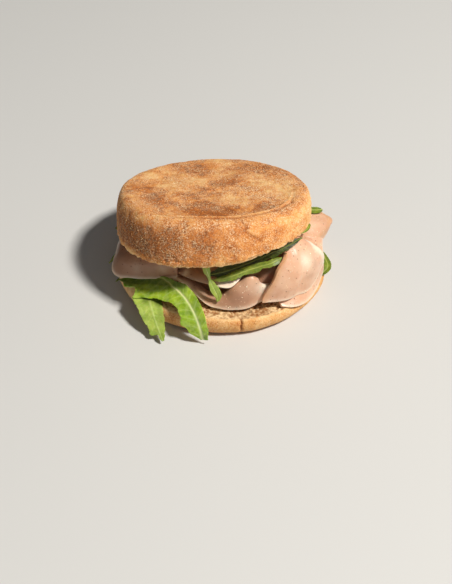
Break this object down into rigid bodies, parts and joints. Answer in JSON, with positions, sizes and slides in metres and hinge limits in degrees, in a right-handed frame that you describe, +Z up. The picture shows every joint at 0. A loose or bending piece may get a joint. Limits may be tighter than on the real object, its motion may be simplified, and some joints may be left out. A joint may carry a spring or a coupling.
{
  "type": "english muffin sandwich with ham and rocket",
  "caption": "Split round griddled muffin, its top half tipped back on folded ham slices and rocket leaves that spill over the rim at the front and the sides.",
  "frame": {"origin": "on the surface that the muffin stands on, under the middle of its lower half", "axes": "+Z up; +X to the right and -Y towards the open front, where the filling shows; the top half leans back towards +Y"},
  "size_m": [0.1176, 0.1113, 0.0601],
  "materials": {
    "crust": "dry griddled bread crust, orange brown with darker toasted patches and pale flour and cornmeal specks",
    "heel_crust": "golden bread crust on the side and base, torn cream crumb on the cut face",
    "ham": "moist pale pink cooked ham with a faint tan rind at some edges",
    "rocket": "fresh green rocket leaf with a pale midrib and fine veins"
  },
  "bodies": {
    "root": {"muffin_bottom": "heel_crust", "muffin_top": "crust", "ham_front": "ham", "ham_outer": "ham", "ham_right": "ham", "ham_back_right": "ham", "ham_inner": "ham", "ham_mid": "ham", "ham_left": "ham", "ham_back": "ham", "leaf_front_long": "rocket", "leaf_front_short": "rocket", "leaf_strip": "rocket", "leaf_under_crown": "rocket", "leaf_crown_edge": "rocket", "leaf_right_sliver": "rocket", "leaf_back_right": "rocket", "leaf_right_low": "rocket", "leaf_left_high": "rocket", "leaf_left_low": "rocket"}
  },
  "joints": []
}
